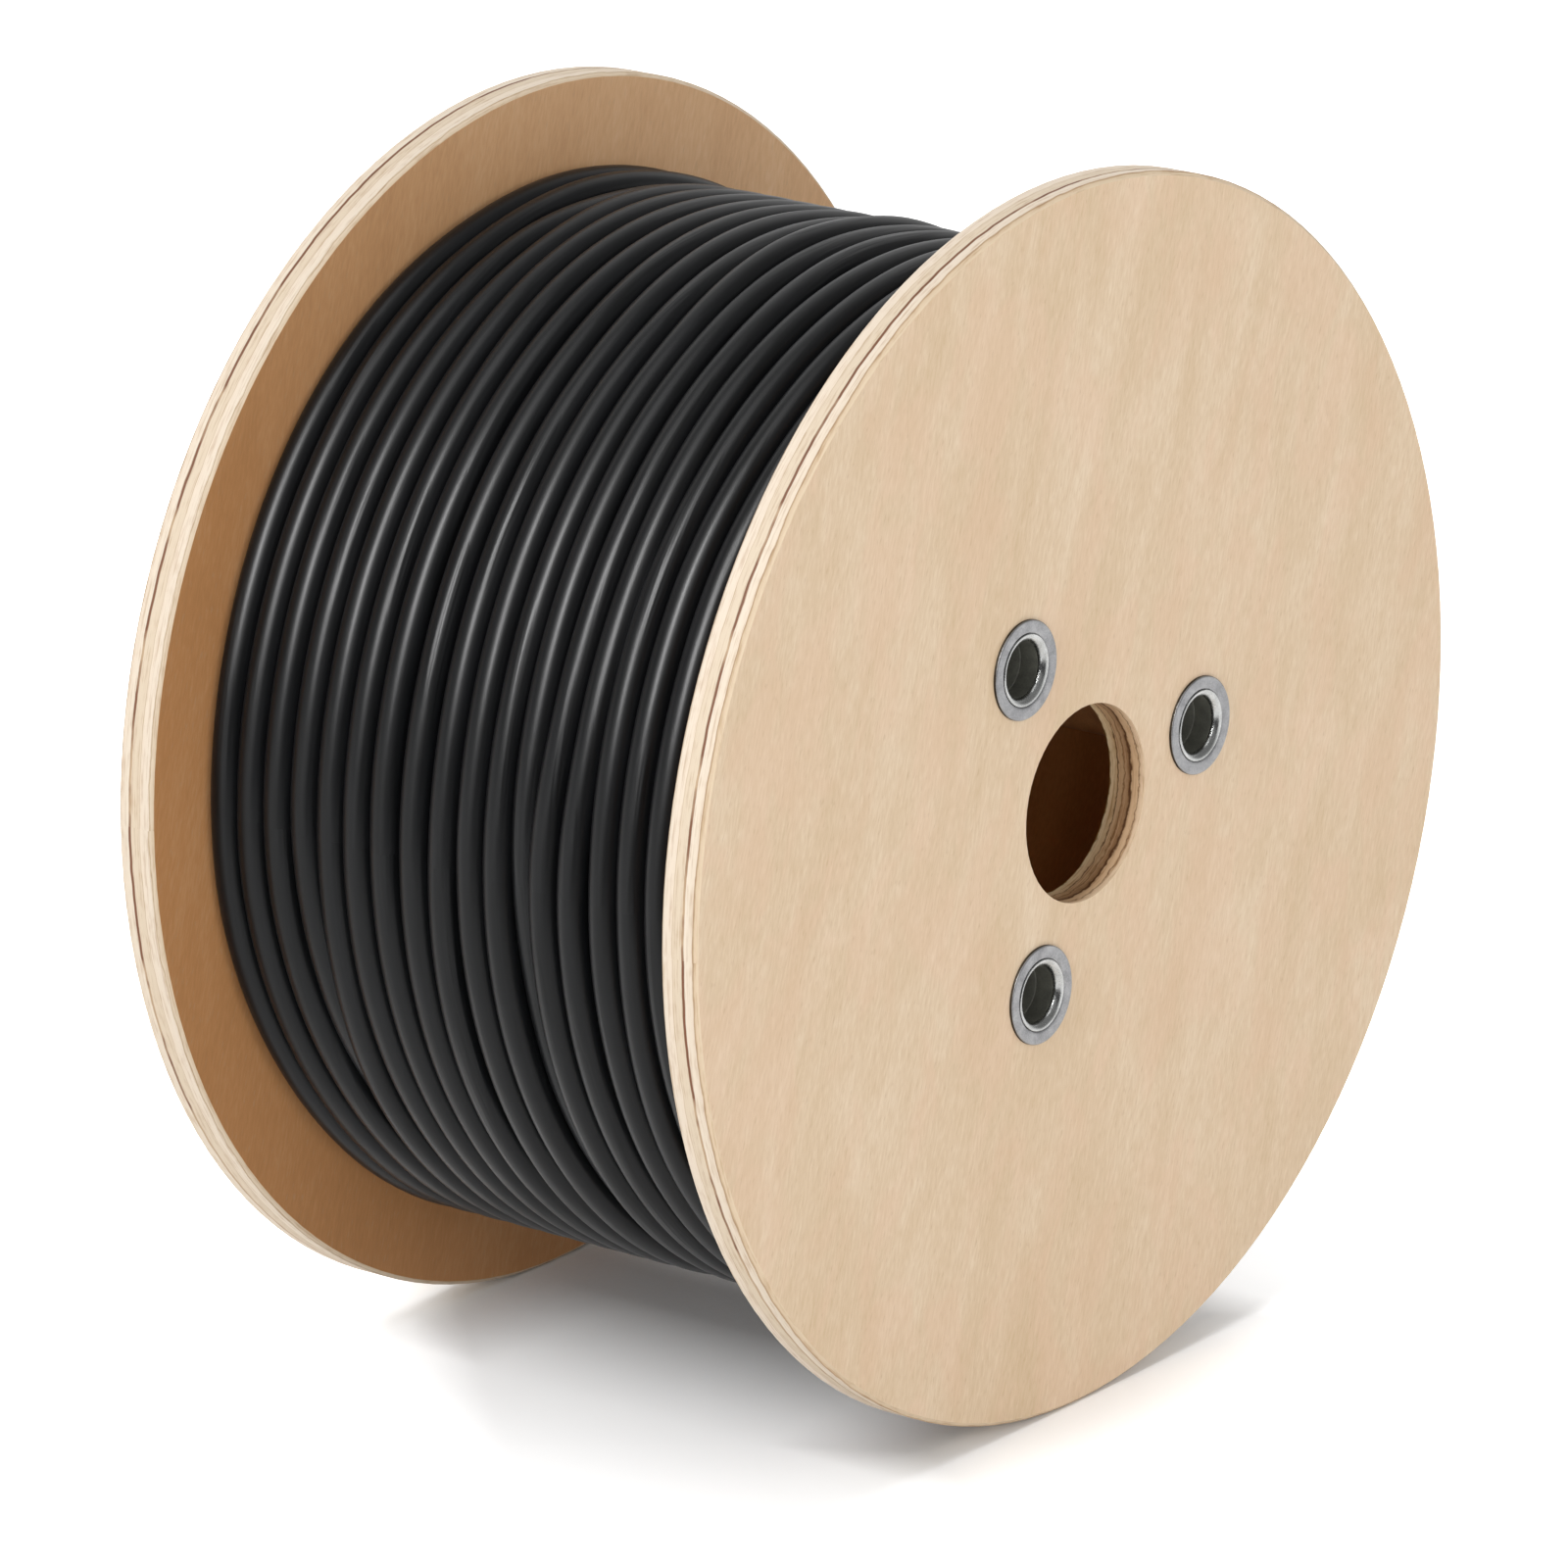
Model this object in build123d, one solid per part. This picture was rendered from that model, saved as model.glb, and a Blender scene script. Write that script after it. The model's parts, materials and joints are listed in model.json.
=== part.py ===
"""Plywood cable drum with its wound cable, standing on the rims of its two flanges.

Two plywood discs clamp a barrel between them. Three steel tie tubes run from disc to disc
inside the barrel, and each tube end is belled out over a dished washer. The cable is wound
side by side on the barrel. All sizes are in millimetres. The drum's axis is the Y axis.
"""
import os

from build123d import *

# Driving dimensions of the flanges
FLANGE_DIAMETER = 350.0
FLANGE_THICKNESS = 12.0
FLANGE_EDGE_CHAMFER = 1.2
TRAVERSE = 175.0
ARBOR_HOLE_DIAMETER = 56.0

# Tie tubes, with the end of each one opened out by a punch and belled over its washer.
# They were drilled for by hand, so their angles, counted from +X up to +Z, are uneven.
TUBE_ANGLES = (10.0, 123.0, 247.0)
TUBE_CIRCLE_DIAMETER = 108.0
TUBE_DIAMETER = 17.2
TUBE_WALL = 1.0
MOUTH_EXPANSION = 0.4
MOUTH_DEPTH = 8.0
BELL_RADIUS = 2.2
TUBE_HOLE_CLEARANCE = 0.15

# Barrel round the tie tubes, let into a ring groove in each flange
BARREL_TO_TUBE_GAP = 8.0
BARREL_WALL = 4.0
GROOVE_DEPTH = 4.0
GROOVE_CLEARANCE = 0.25

# Dished washers
WASHER_DIAMETER = 28.0
WASHER_THICKNESS = 1.0
WASHER_EDGE_CHAMFER = 0.3
WASHER_SEAT_CLEARANCE = 0.1

# Cable, wound in turns that lie side by side and in layers up to a margin below the rims
CABLE_DIAMETER = 9.4
RIM_MARGIN = 25.0
CREST_SHARE = 0.42
LAYER_GROOVE_DEPTH = 1.5
WINDING_CLEARANCE = 0.3

# Values worked out from the driving dimensions
flange_radius = FLANGE_DIAMETER / 2
arbor_radius = ARBOR_HOLE_DIAMETER / 2
inner_face = TRAVERSE / 2
outer_face = inner_face + FLANGE_THICKNESS
washer_face = outer_face + WASHER_THICKNESS
tube_circle_radius = TUBE_CIRCLE_DIAMETER / 2
tube_radius = TUBE_DIAMETER / 2
tube_bore = tube_radius - TUBE_WALL
mouth_radius = tube_radius + MOUTH_EXPANSION
mouth_bore = mouth_radius - TUBE_WALL
mouth_inner_end = washer_face - MOUTH_DEPTH
bell_start = washer_face - BELL_RADIUS
lip_radius = mouth_bore + BELL_RADIUS
tube_hole_radius = mouth_radius + TUBE_HOLE_CLEARANCE
dish_radius = lip_radius + WASHER_SEAT_CLEARANCE
dish_outer_radius = dish_radius + WASHER_THICKNESS
barrel_bore = tube_circle_radius + mouth_radius + BARREL_TO_TUBE_GAP
barrel_radius = barrel_bore + BARREL_WALL
winding_radius = flange_radius - RIM_MARGIN
winding_bore = barrel_radius + WINDING_CLEARANCE
winding_end = inner_face - WINDING_CLEARANCE
turns_in_layer = int(2 * winding_end // CABLE_DIAMETER)
layers = round((winding_radius - winding_bore) / CABLE_DIAMETER)


def turned(outline):
    """Turn a closed half-section, drawn as radius and place along the axis, about the Y axis."""
    return revolve(make_face(outline), Axis.Y)


def ring(inner_radius, outer_radius, low, high):
    """Plain ring about the Y axis between two places on it."""
    corners = [(inner_radius, low), (outer_radius, low), (outer_radius, high), (inner_radius, high)]
    return turned(Polyline(*corners, close=True))


def at_tubes(piece):
    """Copies of a piece made on the Y axis, one on the centre line of each tie tube."""
    copies = []
    for angle in TUBE_ANGLES:
        spot = Vector(tube_circle_radius, 0, 0).rotate(Axis.Y, -angle)
        copies.append(Pos(spot) * piece)
    return copies


def mirrored(piece):
    """The same piece at the other flange."""
    return mirror(piece, about=Plane.XZ)


def make_flange():
    """Flange at the +Y side, with its arbor hole, its barrel groove and its tie tube holes."""
    chamfer = FLANGE_EDGE_CHAMFER
    outline = Polyline(
        (arbor_radius, inner_face),
        (flange_radius - chamfer, inner_face),
        (flange_radius, inner_face + chamfer),
        (flange_radius, outer_face - chamfer),
        (flange_radius - chamfer, outer_face),
        (arbor_radius, outer_face),
        close=True,
    )
    groove = ring(
        barrel_bore - GROOVE_CLEARANCE,
        barrel_radius + GROOVE_CLEARANCE,
        inner_face - GROOVE_DEPTH,
        inner_face + GROOVE_DEPTH,
    )
    flange = turned(outline) - groove
    hole = ring(0, tube_hole_radius, inner_face - FLANGE_THICKNESS, outer_face + FLANGE_THICKNESS)
    seat = ring(
        0,
        dish_outer_radius + WASHER_SEAT_CLEARANCE,
        bell_start - WASHER_SEAT_CLEARANCE,
        outer_face + FLANGE_THICKNESS,
    )
    for cutter in at_tubes(hole + seat):
        flange = flange - cutter
    return flange


def make_barrel():
    """Barrel tube, standing on the floor of both grooves."""
    reach = inner_face + GROOVE_DEPTH
    return ring(barrel_bore, barrel_radius, -reach, reach)


def make_tie_tube():
    """Tie tube on the Y axis, opened out and belled at both ends.

    The bell is round inside. Its underside, hidden in the washer, runs straight.
    """
    low, high = mouth_inner_end, bell_start
    neck = low - TUBE_WALL
    outline = [
        Polyline((tube_bore, 0), (tube_bore, low), (mouth_bore, low), (mouth_bore, high)),
        CenterArc((lip_radius, high), BELL_RADIUS, 90, 90),
        Polyline(
            (lip_radius, washer_face),
            (lip_radius, washer_face - TUBE_WALL),
            (mouth_radius, high),
            (mouth_radius, neck),
            (tube_radius, neck - MOUTH_EXPANSION),
            (tube_radius, 0),
            (tube_bore, 0),
        ),
    ]
    upper = turned(outline)
    return upper + mirrored(upper)


def make_washer():
    """Dished washer on the Y axis: a flat rim with its middle pressed into the wood."""
    outer, chamfer = WASHER_DIAMETER / 2, WASHER_EDGE_CHAMFER
    seat = BELL_RADIUS - TUBE_WALL - WASHER_SEAT_CLEARANCE
    outline = Polyline(
        (lip_radius - seat, bell_start),
        (dish_outer_radius, bell_start),
        (dish_outer_radius, outer_face),
        (outer, outer_face),
        (outer, washer_face - chamfer),
        (outer - chamfer, washer_face),
        (dish_radius, washer_face),
        (dish_radius, bell_start + seat),
        (lip_radius, bell_start + seat),
        close=True,
    )
    return turned(outline)


def make_winding():
    """Wound cable as one turned solid, with each turn of the top layer on its outside.

    The round back of a turn is drawn as a flat crest between two sloping sides that reach
    down to the turn's widest place. Each end shows the layers as ridges.
    """
    pitch = 2 * winding_end / turns_in_layer
    slope = pitch * (1 - CREST_SHARE) / 2
    widest = winding_radius - CABLE_DIAMETER / 2
    outside = []
    for turn in range(turns_in_layer):
        start = -winding_end + turn * pitch
        outside.append((widest, start))
        outside.append((winding_radius, start + slope))
        outside.append((winding_radius, start + pitch - slope))
    outside.append((widest, winding_end))
    layer_height = (winding_radius - winding_bore) / layers
    valley = winding_end - LAYER_GROOVE_DEPTH
    end = [(winding_bore, valley)]
    for layer in range(1, layers):
        top = winding_bore + layer * layer_height
        end.append((top - layer_height / 2, winding_end))
        end.append((top, valley))
    near_end = [(radius, -place) for radius, place in end]
    outline = Polyline(*outside, *reversed(end), *near_end, close=True)
    return turned(outline)


def save(solid, name):
    """Write one node as a file of its own name."""
    solid.label = name
    export_step(solid, f"parts/{name}.step")


def main():
    os.makedirs("parts", exist_ok=True)
    flange = make_flange()
    save(flange, "flange_back")
    save(mirrored(flange), "flange_front")
    save(make_barrel(), "barrel")
    washer = make_washer()
    for index, tube in enumerate(at_tubes(make_tie_tube()), start=1):
        save(tube, f"tie_tube_{index}")
    for index, back_washer in enumerate(at_tubes(washer), start=1):
        save(back_washer, f"washer_back_{index}")
        save(mirrored(back_washer), f"washer_front_{index}")
    save(make_winding(), "cable_winding")


main()
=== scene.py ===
# %% [markdown]
# # A plywood cable drum, wound full with black cable
#
# The drum is two plywood discs with a tube between them. Three thin steel tubes pass through
# both discs and are belled over at their ends, which clamps everything together. About a
# hundred metres of black cable lie on it in layers. The solid model gives every size, so this
# lesson starts by loading it as a fixed frame and measures what it needs from there.

import json
import math

import bpy
import numpy as np
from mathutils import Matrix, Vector


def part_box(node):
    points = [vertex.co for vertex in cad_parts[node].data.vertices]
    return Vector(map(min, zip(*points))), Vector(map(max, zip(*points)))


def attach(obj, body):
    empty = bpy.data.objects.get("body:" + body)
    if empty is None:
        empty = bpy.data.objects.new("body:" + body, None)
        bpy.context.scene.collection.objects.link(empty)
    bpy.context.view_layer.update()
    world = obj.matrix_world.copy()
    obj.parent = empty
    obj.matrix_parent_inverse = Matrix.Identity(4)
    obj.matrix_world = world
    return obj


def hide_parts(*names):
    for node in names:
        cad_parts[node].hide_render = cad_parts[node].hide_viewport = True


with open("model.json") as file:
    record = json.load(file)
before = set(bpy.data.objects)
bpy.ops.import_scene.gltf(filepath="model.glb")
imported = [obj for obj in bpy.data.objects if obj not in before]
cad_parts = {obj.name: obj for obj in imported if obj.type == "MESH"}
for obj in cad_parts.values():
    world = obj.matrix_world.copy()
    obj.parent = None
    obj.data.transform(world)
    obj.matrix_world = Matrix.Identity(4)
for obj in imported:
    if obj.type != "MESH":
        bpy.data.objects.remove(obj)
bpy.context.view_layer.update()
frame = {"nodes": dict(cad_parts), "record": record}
nodes = frame["nodes"]
print("solid nodes:", sorted(nodes))

# %% [markdown]
# ## Sizes read from the solids
#
# The drum's axis is the Y axis and its middle is the origin. Places across the drum are counted
# in millimetres, because a maker thinks in them, and turned to metres in one place.

# %% Read the drum's sizes
MM = 0.001

flange_low, flange_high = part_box("flange_back")
flange_radius = flange_high.x
inner_face = flange_low.y
outer_face = flange_high.y
floor_height = flange_low.z
washer_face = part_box("washer_back_1")[1].y
tube_mounts = [m for m in frame["record"]["mounts"] if m["name"].startswith("tie_tube")]
print("flange radius", round(flange_radius / MM, 1), "mm, faces at", round(inner_face / MM, 1),
      "and", round(outer_face / MM, 1), "mm,", len(tube_mounts), "tie tubes")

# %% [markdown]
# ## Colours and nodes
#
# Paint charts and photographs name colours in sRGB, but a renderer adds light in linear values.
# One function turns a hex colour into linear. Another adds one node with its settings and its
# inputs, so a material reads as a list of what it is made of. An input may be a number, a colour
# or an earlier node.

# %% Colours as a renderer needs them
def linear(hex_colour):
    """Linear red, green, blue and alpha of an sRGB hex colour."""
    shares = [int(hex_colour[i:i + 2], 16) / 255 for i in (1, 3, 5)]
    return [s / 12.92 if s <= 0.04045 else ((s + 0.055) / 1.055) ** 2.4 for s in shares] + [1.0]


# %% One node with its settings and inputs
def add(tree, kind, inputs=None, stops=None, **settings):
    """Add a node. Inputs are values, sockets or nodes, stops are a ramp's places and colours."""
    node = tree.nodes.new(kind)
    for name, value in settings.items():
        setattr(node, name, value)
    for key, value in (inputs or {}).items():
        if isinstance(value, bpy.types.Node):
            value = next(output for output in value.outputs if output.enabled)
        if isinstance(value, bpy.types.NodeSocket):
            tree.links.new(value, node.inputs[key])
        else:
            node.inputs[key].default_value = value
    if stops:
        ramp = node.color_ramp.elements
        while len(ramp) < len(stops):
            ramp.new(1.0)
        for element, (place, colour) in zip(ramp, stops):
            element.position = place
            element.color = linear(colour) if isinstance(colour, str) else (colour,) * 3 + (1,)
    return node


# %% An empty material
def new_material(name):
    """A material with its tree, its shader and the place on the object."""
    material = bpy.data.materials.new(name)
    material.use_nodes = True
    tree = material.node_tree
    shader = tree.nodes["Principled BSDF"]
    place = add(tree, "ShaderNodeTexCoord").outputs["Object"]
    return material, tree, shader, place


# %% [markdown]
# ## Camera
#
# A product photographer stands well back with a long lens, so that both discs look almost the
# same size. The place and the direction were found by fitting the two rims, the arbor hole and
# the three eyelets to the picture.

# %% Stand the camera where the photographer stood
CAMERA_PLACE = (-2.28761, -1.73637, 0.89290)
CAMERA_YAW = 52.728
CAMERA_PITCH = -17.516
LENS_MM = 247.116
SENSOR_MM = 36

camera_data = bpy.data.cameras.new("camera")
camera_data.lens = LENS_MM
camera_data.sensor_width = SENSOR_MM
camera = bpy.data.objects.new("camera", camera_data)
camera.location = CAMERA_PLACE
camera.rotation_euler = (math.radians(90 + CAMERA_PITCH), 0, math.radians(-CAMERA_YAW))
bpy.context.scene.collection.objects.link(camera)
bpy.context.scene.camera = camera
print("camera is", round(Vector(CAMERA_PLACE).length, 2), "m from the drum")

# %% [markdown]
# ## Studio light
#
# The picture was taken in a white room with large soft lamps: a tall one on the left lights the
# rims, a broad one overhead puts the shadow under the drum, and a wide white wall behind the
# photographer lights the face and looks into the arbor hole. A shiny black cable shows its
# surroundings more than its own colour, so it gets a lamp of its own, high on the left, which
# draws one soft line along each turn, and a dark cloth low behind the camera, which keeps the right
# side of each turn dark. The white backdrop behind the drum draws a thin line on the far edge of
# each turn. The rest of the room is dim, so that the black sheath stays black, but white near the
# floor, so that a low view still ends in white.

# %% The room
ROOM_DIM = 0.3
# The white near the floor fades out between these heights, on a ball of radius 1 round the drum.
HORIZON_WHITE, HORIZON_FROM, HORIZON_TO = 1.0, 0.08, 0.16
# The backdrop fades out between these cosines of the angle from its middle.
BACKDROP_WHITE, BACKDROP_FROM, BACKDROP_TO = 1.0, 0.52, 0.70
BACKDROP_TOWARD = (0.72, 0.66, 0.22)

scene = bpy.context.scene
scene.view_settings.view_transform = "Standard"
world = bpy.data.worlds.new("white_room")
scene.world = world
world.use_nodes = True
room = world.node_tree
room.nodes.clear()
toward = add(room, "ShaderNodeTexCoord").outputs["Generated"]
upward = add(room, "ShaderNodeSeparateXYZ", {0: toward}).outputs[2]
strength = add(room, "ShaderNodeMapRange", {0: upward, 1: HORIZON_FROM, 2: HORIZON_TO,
                                            3: HORIZON_WHITE, 4: ROOM_DIM})
behind = add(room, "ShaderNodeVectorMath", {0: toward, 1: BACKDROP_TOWARD}, operation="DOT_PRODUCT")
backdrop = add(room, "ShaderNodeMapRange", {0: behind, 1: BACKDROP_FROM, 2: BACKDROP_TO,
                                            3: 0.0, 4: BACKDROP_WHITE})
strength = add(room, "ShaderNodeMath", {0: strength, 1: backdrop}, operation="MAXIMUM")
background = add(room, "ShaderNodeBackground", {"Color": linear("#FFFFFF"), "Strength": strength})
add(room, "ShaderNodeOutputWorld", {"Surface": background})
print("room has", len(room.nodes), "nodes")


# %% Soft lamps
def soft_lamp(name, toward_lamp, distance, width, height, light):
    """A rectangular lamp facing the drum. Light is what falls on a sheet held square to it."""
    data = bpy.data.lights.new(name, "AREA")
    data.shape = "RECTANGLE"
    data.size, data.size_y = width, height
    data.energy = light * math.pi * distance ** 2
    lamp = bpy.data.objects.new(name, data)
    lamp.location = Vector(toward_lamp).normalized() * distance
    lamp.rotation_euler = Vector(toward_lamp).to_track_quat("Z", "Y").to_euler()
    lamp.visible_camera = False
    scene.collection.objects.link(lamp)
    return lamp


# The two that light the wood are left out of reflections, and the one for the sheath lights no
# wood.
left_strip_lamp = soft_lamp("left_strip_lamp", toward_lamp=(-0.86, -0.15, 0.49), distance=2.2,
                            width=0.28, height=1.9, light=1.3)
left_strip_lamp.visible_glossy = False
white_wall = soft_lamp("white_wall", toward_lamp=(-0.12, -0.92, 0.36), distance=3.4,
                       width=5.6, height=2.4, light=1.05)
white_wall.visible_glossy = False
sheen_lamp = soft_lamp("sheen_lamp", toward_lamp=(-0.79, -0.03, 0.61), distance=2.2,
                       width=0.5, height=1.5, light=7.6)
sheen_lamp.visible_diffuse = False

# %% A lamp far above, with the spread of a large diffuser, lights the whole floor alike
OVERHEAD_TOWARD = (-0.2, 0.1, 0.97)
OVERHEAD_SPREAD = 40
OVERHEAD_LIGHT = 1.0

overhead = bpy.data.lights.new("overhead_lamp", "SUN")
overhead.angle = math.radians(OVERHEAD_SPREAD)
overhead.energy = OVERHEAD_LIGHT
overhead_lamp = bpy.data.objects.new("overhead_lamp", overhead)
overhead_lamp.rotation_euler = Vector(OVERHEAD_TOWARD).to_track_quat("Z", "Y").to_euler()
scene.collection.objects.link(overhead_lamp)

# %% [markdown]
# ## Floor
#
# A sheet of white paper. It takes the drum's shadow as paper does. On top of that it glows with
# painted light, seen by the camera and by mirrors alone, so no more light falls on the drum. The
# glow makes the paper clean white and paints out the weak outer part of the shadow. It grows
# from none under the drum's middle to its whole share beyond the discs, is weaker along the line
# where a disc stands, which paints shade there, and is a little stronger on the right and at the
# far left, which paints light there. Uncoated paper has no gloss at all, so its specular level is
# nought.

# %% Lay the white paper
FLOOR_HALF = 9.0

floor_mesh = bpy.data.meshes.new("paper_floor")
corners = [(-FLOOR_HALF, -FLOOR_HALF), (FLOOR_HALF, -FLOOR_HALF), (FLOOR_HALF, FLOOR_HALF),
           (-FLOOR_HALF, FLOOR_HALF)]
floor_mesh.from_pydata([(x, y, floor_height) for x, y in corners], [], [(0, 1, 2, 3)])
floor = bpy.data.objects.new("paper_floor", floor_mesh)
scene.collection.objects.link(floor)
print("floor lies at", round(floor_height / MM, 1), "mm")

# %% White paper, with fibres about a millimetre long
FIBRES_PER_METRE = 900.0

paper, tree, shader, place = new_material("white_paper")
fibre = add(tree, "ShaderNodeTexNoise", {"Vector": place, "Scale": FIBRES_PER_METRE, "Detail": 2.0})
tone = add(tree, "ShaderNodeValToRGB", {0: fibre.outputs[0]},
           stops=[(0.3, "#FAFAFA"), (0.7, "#FDFDFD")])
tree.links.new(tone.outputs[0], shader.inputs["Base Color"])
shader.inputs["Roughness"].default_value = 0.9
shader.inputs["Specular IOR Level"].default_value = 0.0
floor_mesh.materials.append(paper)
print("paper is on the floor")

# %% Painted white that grows away from the drum's middle, places in mm
SHADE_NEAR, SHADE_FAR, PAPER_WHITE = 10, 82, 0.39
# Beyond a disc's middle plane it grows faster, as if each mm were this many.
DISC_PLACE, DISC_SHARE = 88, 1.9

part = add(tree, "ShaderNodeSeparateXYZ", {0: place}).outputs
from_disc = add(tree, "ShaderNodeMath", {0: part[1]}, operation="ABSOLUTE")
from_disc = add(tree, "ShaderNodeMath", {0: from_disc, 1: DISC_PLACE * MM}, operation="SUBTRACT")
past_disc = add(tree, "ShaderNodeMath", {0: from_disc, 1: 0.0}, operation="MAXIMUM")
past_disc = add(tree, "ShaderNodeMath", {0: past_disc, 1: DISC_SHARE}, operation="MULTIPLY")
away = add(tree, "ShaderNodeCombineXYZ", {0: part[0], 1: past_disc})
away = add(tree, "ShaderNodeVectorMath", {0: away}, operation="LENGTH")
extra = add(tree, "ShaderNodeMapRange", {0: away, 1: SHADE_NEAR * MM, 2: SHADE_FAR * MM,
                                         3: 0.0, 4: PAPER_WHITE})
print("white grows from", SHADE_NEAR, "to", SHADE_FAR, "mm")

# %% Less of it close to where a disc stands, which paints shade along the disc
DISC_SHADE, DISC_SHADE_WIDTH = 0.1, 38
# Far from the place where the disc touches the floor, this wears off.
DISC_SHADE_MIDDLE, DISC_SHADE_FROM, DISC_SHADE_TO = 10, 65, 90

beside = add(tree, "ShaderNodeMath", {0: from_disc}, operation="ABSOLUTE")
beside = add(tree, "ShaderNodeMapRange", {0: beside, 1: 0.0, 2: DISC_SHADE_WIDTH * MM,
                                          3: DISC_SHADE, 4: 1.0})
beyond = add(tree, "ShaderNodeMath", {0: part[0], 1: DISC_SHADE_MIDDLE * MM}, operation="SUBTRACT")
beyond = add(tree, "ShaderNodeMath", {0: beyond}, operation="ABSOLUTE")
beyond = add(tree, "ShaderNodeMapRange", {0: beyond, 1: DISC_SHADE_FROM * MM,
                                          2: DISC_SHADE_TO * MM})
beside = add(tree, "ShaderNodeMath", {0: beside, 1: beyond}, operation="MAXIMUM")
extra = add(tree, "ShaderNodeMath", {0: extra, 1: beside}, operation="MULTIPLY")
print("a disc shades the paper for", DISC_SHADE_WIDTH, "mm to each side")

# %% A little more painted light at two sides: towards which side, from and to which mm, and how much
SIDE_PAINTED_LIGHTS = [((1.0, 0.0, 0.0), 60, 120, 0.2), ((-0.7, 0.7, 0.0), 92, 108, 0.22)]

for toward_side, near, far, white in SIDE_PAINTED_LIGHTS:
    aside = add(tree, "ShaderNodeVectorMath", {0: place, 1: toward_side}, operation="DOT_PRODUCT")
    aside = add(tree, "ShaderNodeMapRange", {0: aside, 1: near * MM, 2: far * MM, 3: 0.0, 4: white})
    extra = add(tree, "ShaderNodeMath", {0: extra, 1: aside}, operation="ADD")
print("whiter at", len(SIDE_PAINTED_LIGHTS), "sides")

# %% The added white shows to the camera, to mirrors and through glass, and lights nothing
ray = add(tree, "ShaderNodeLightPath").outputs
seen = add(tree, "ShaderNodeMath", {0: ray["Is Camera Ray"], 1: ray["Is Glossy Ray"]},
           operation="MAXIMUM")
seen = add(tree, "ShaderNodeMath", {0: seen, 1: ray["Is Transmission Ray"]}, operation="MAXIMUM")
extra = add(tree, "ShaderNodeMath", {0: extra, 1: seen}, operation="MULTIPLY")
glow = add(tree, "ShaderNodeEmission", {"Color": linear("#FFFFFF"), "Strength": extra})
surface = add(tree, "ShaderNodeAddShader", {0: shader, 1: glow})
tree.links.new(surface.outputs[0], tree.nodes["Material Output"].inputs["Surface"])
print("paper has", len(tree.nodes), "nodes")

# %% [markdown]
# ## Dark cloth
#
# A photographer hangs black cloth where a shiny thing should look dark. Wool felt swallows light,
# so it is rough and almost black. It stands low behind the camera and shows in reflections alone.

# %% Hang the cloth
CLOTH_TOWARD, CLOTH_DISTANCE = Vector((-0.656, -0.755, 0)), 0.6
CLOTH_HALF, CLOTH_TOP = 0.50, 0.14

cloth_side = CLOTH_TOWARD.cross(Vector((0, 0, 1))) * CLOTH_HALF
cloth_mesh = bpy.data.meshes.new("dark_cloth")
corners = [CLOTH_TOWARD * CLOTH_DISTANCE + cloth_side * way + Vector((0, 0, height))
           for way, height in ((-1, floor_height), (1, floor_height),
                               (1, CLOTH_TOP), (-1, CLOTH_TOP))]
cloth_mesh.from_pydata(corners, [], [(0, 1, 2, 3)])
cloth = bpy.data.objects.new("dark_cloth", cloth_mesh)
scene.collection.objects.link(cloth)
cloth.visible_camera = cloth.visible_diffuse = cloth.visible_shadow = False
print("cloth hangs", CLOTH_DISTANCE, "m in front, up to", round(CLOTH_TOP / MM), "mm")

# %% Dark weave, its threads drawn at 2.5 mm because finer ones would be lost in a reflection
THREADS_PER_METRE = 400.0

weave, tree, shader, place = new_material("dark_weave")
threads = add(tree, "ShaderNodeTexNoise", {"Vector": place, "Scale": THREADS_PER_METRE,
                                           "Detail": 2.0})
tone = add(tree, "ShaderNodeValToRGB", {0: threads.outputs[0]},
           stops=[(0.3, "#38383A"), (0.7, "#454547")])
tree.links.new(tone.outputs[0], shader.inputs["Base Color"])
shader.inputs["Roughness"].default_value = 0.9
cloth_mesh.materials.append(weave)
print("weave is on the cloth")

# %% [markdown]
# ## Plywood
#
# The discs are cut from five-ply birch plywood and sanded, so they look pale and matt, with soft
# light and hardly any reflection. Peeled veneer has broad, faint flames where the knife crossed
# the growth rings, flecks, and short pores along the grain. The outer face is pale. The inner
# faces carry painted shade, darker and redder as shade and warm light bounced between the discs
# make them, and painted light, paler towards the upper right, where more light falls. On the rim
# the plies show as bands: the grain of every second one runs the other way, and a dark glue line
# parts them.
# All of it depends only on the place in the drum, so it is painted from the object's own
# coordinates: the flat faces by x and z, the rim by the distance from the inner face.

# %% Patterns stretched along the grain
def stretched_noise(tree, place, size_mm, detail=2.0, lean=0.0, distortion=0.0):
    """Noise whose patches are about size_mm (x, y, z) large, on the place turned about Y."""
    turned = add(tree, "ShaderNodeMapping",
                 {"Vector": place, "Rotation": (0, math.radians(lean), 0),
                  "Scale": [s * MM for s in size_mm]}, vector_type="TEXTURE")
    return add(tree, "ShaderNodeTexNoise", {"Vector": turned, "Scale": 1.0, "Detail": detail,
                                            "Distortion": distortion})


# %% Cylinder coordinates of the drum
def drum_places(tree, place):
    """Radius, distance from the drum's middle, and the place along the rim, as nodes."""
    part = add(tree, "ShaderNodeSeparateXYZ", {0: place}).outputs
    flat = add(tree, "ShaderNodeVectorMath", {0: place, 1: (1, 0, 1)}, operation="MULTIPLY")
    radius = add(tree, "ShaderNodeVectorMath", {0: flat}, operation="LENGTH")
    angle = add(tree, "ShaderNodeMath", {0: part[2], 1: part[0]}, operation="ARCTAN2")
    across = add(tree, "ShaderNodeMath", {0: part[1]}, operation="ABSOLUTE")
    along = add(tree, "ShaderNodeMath", {0: angle, 1: radius}, operation="MULTIPLY")
    return radius, across, along


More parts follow.
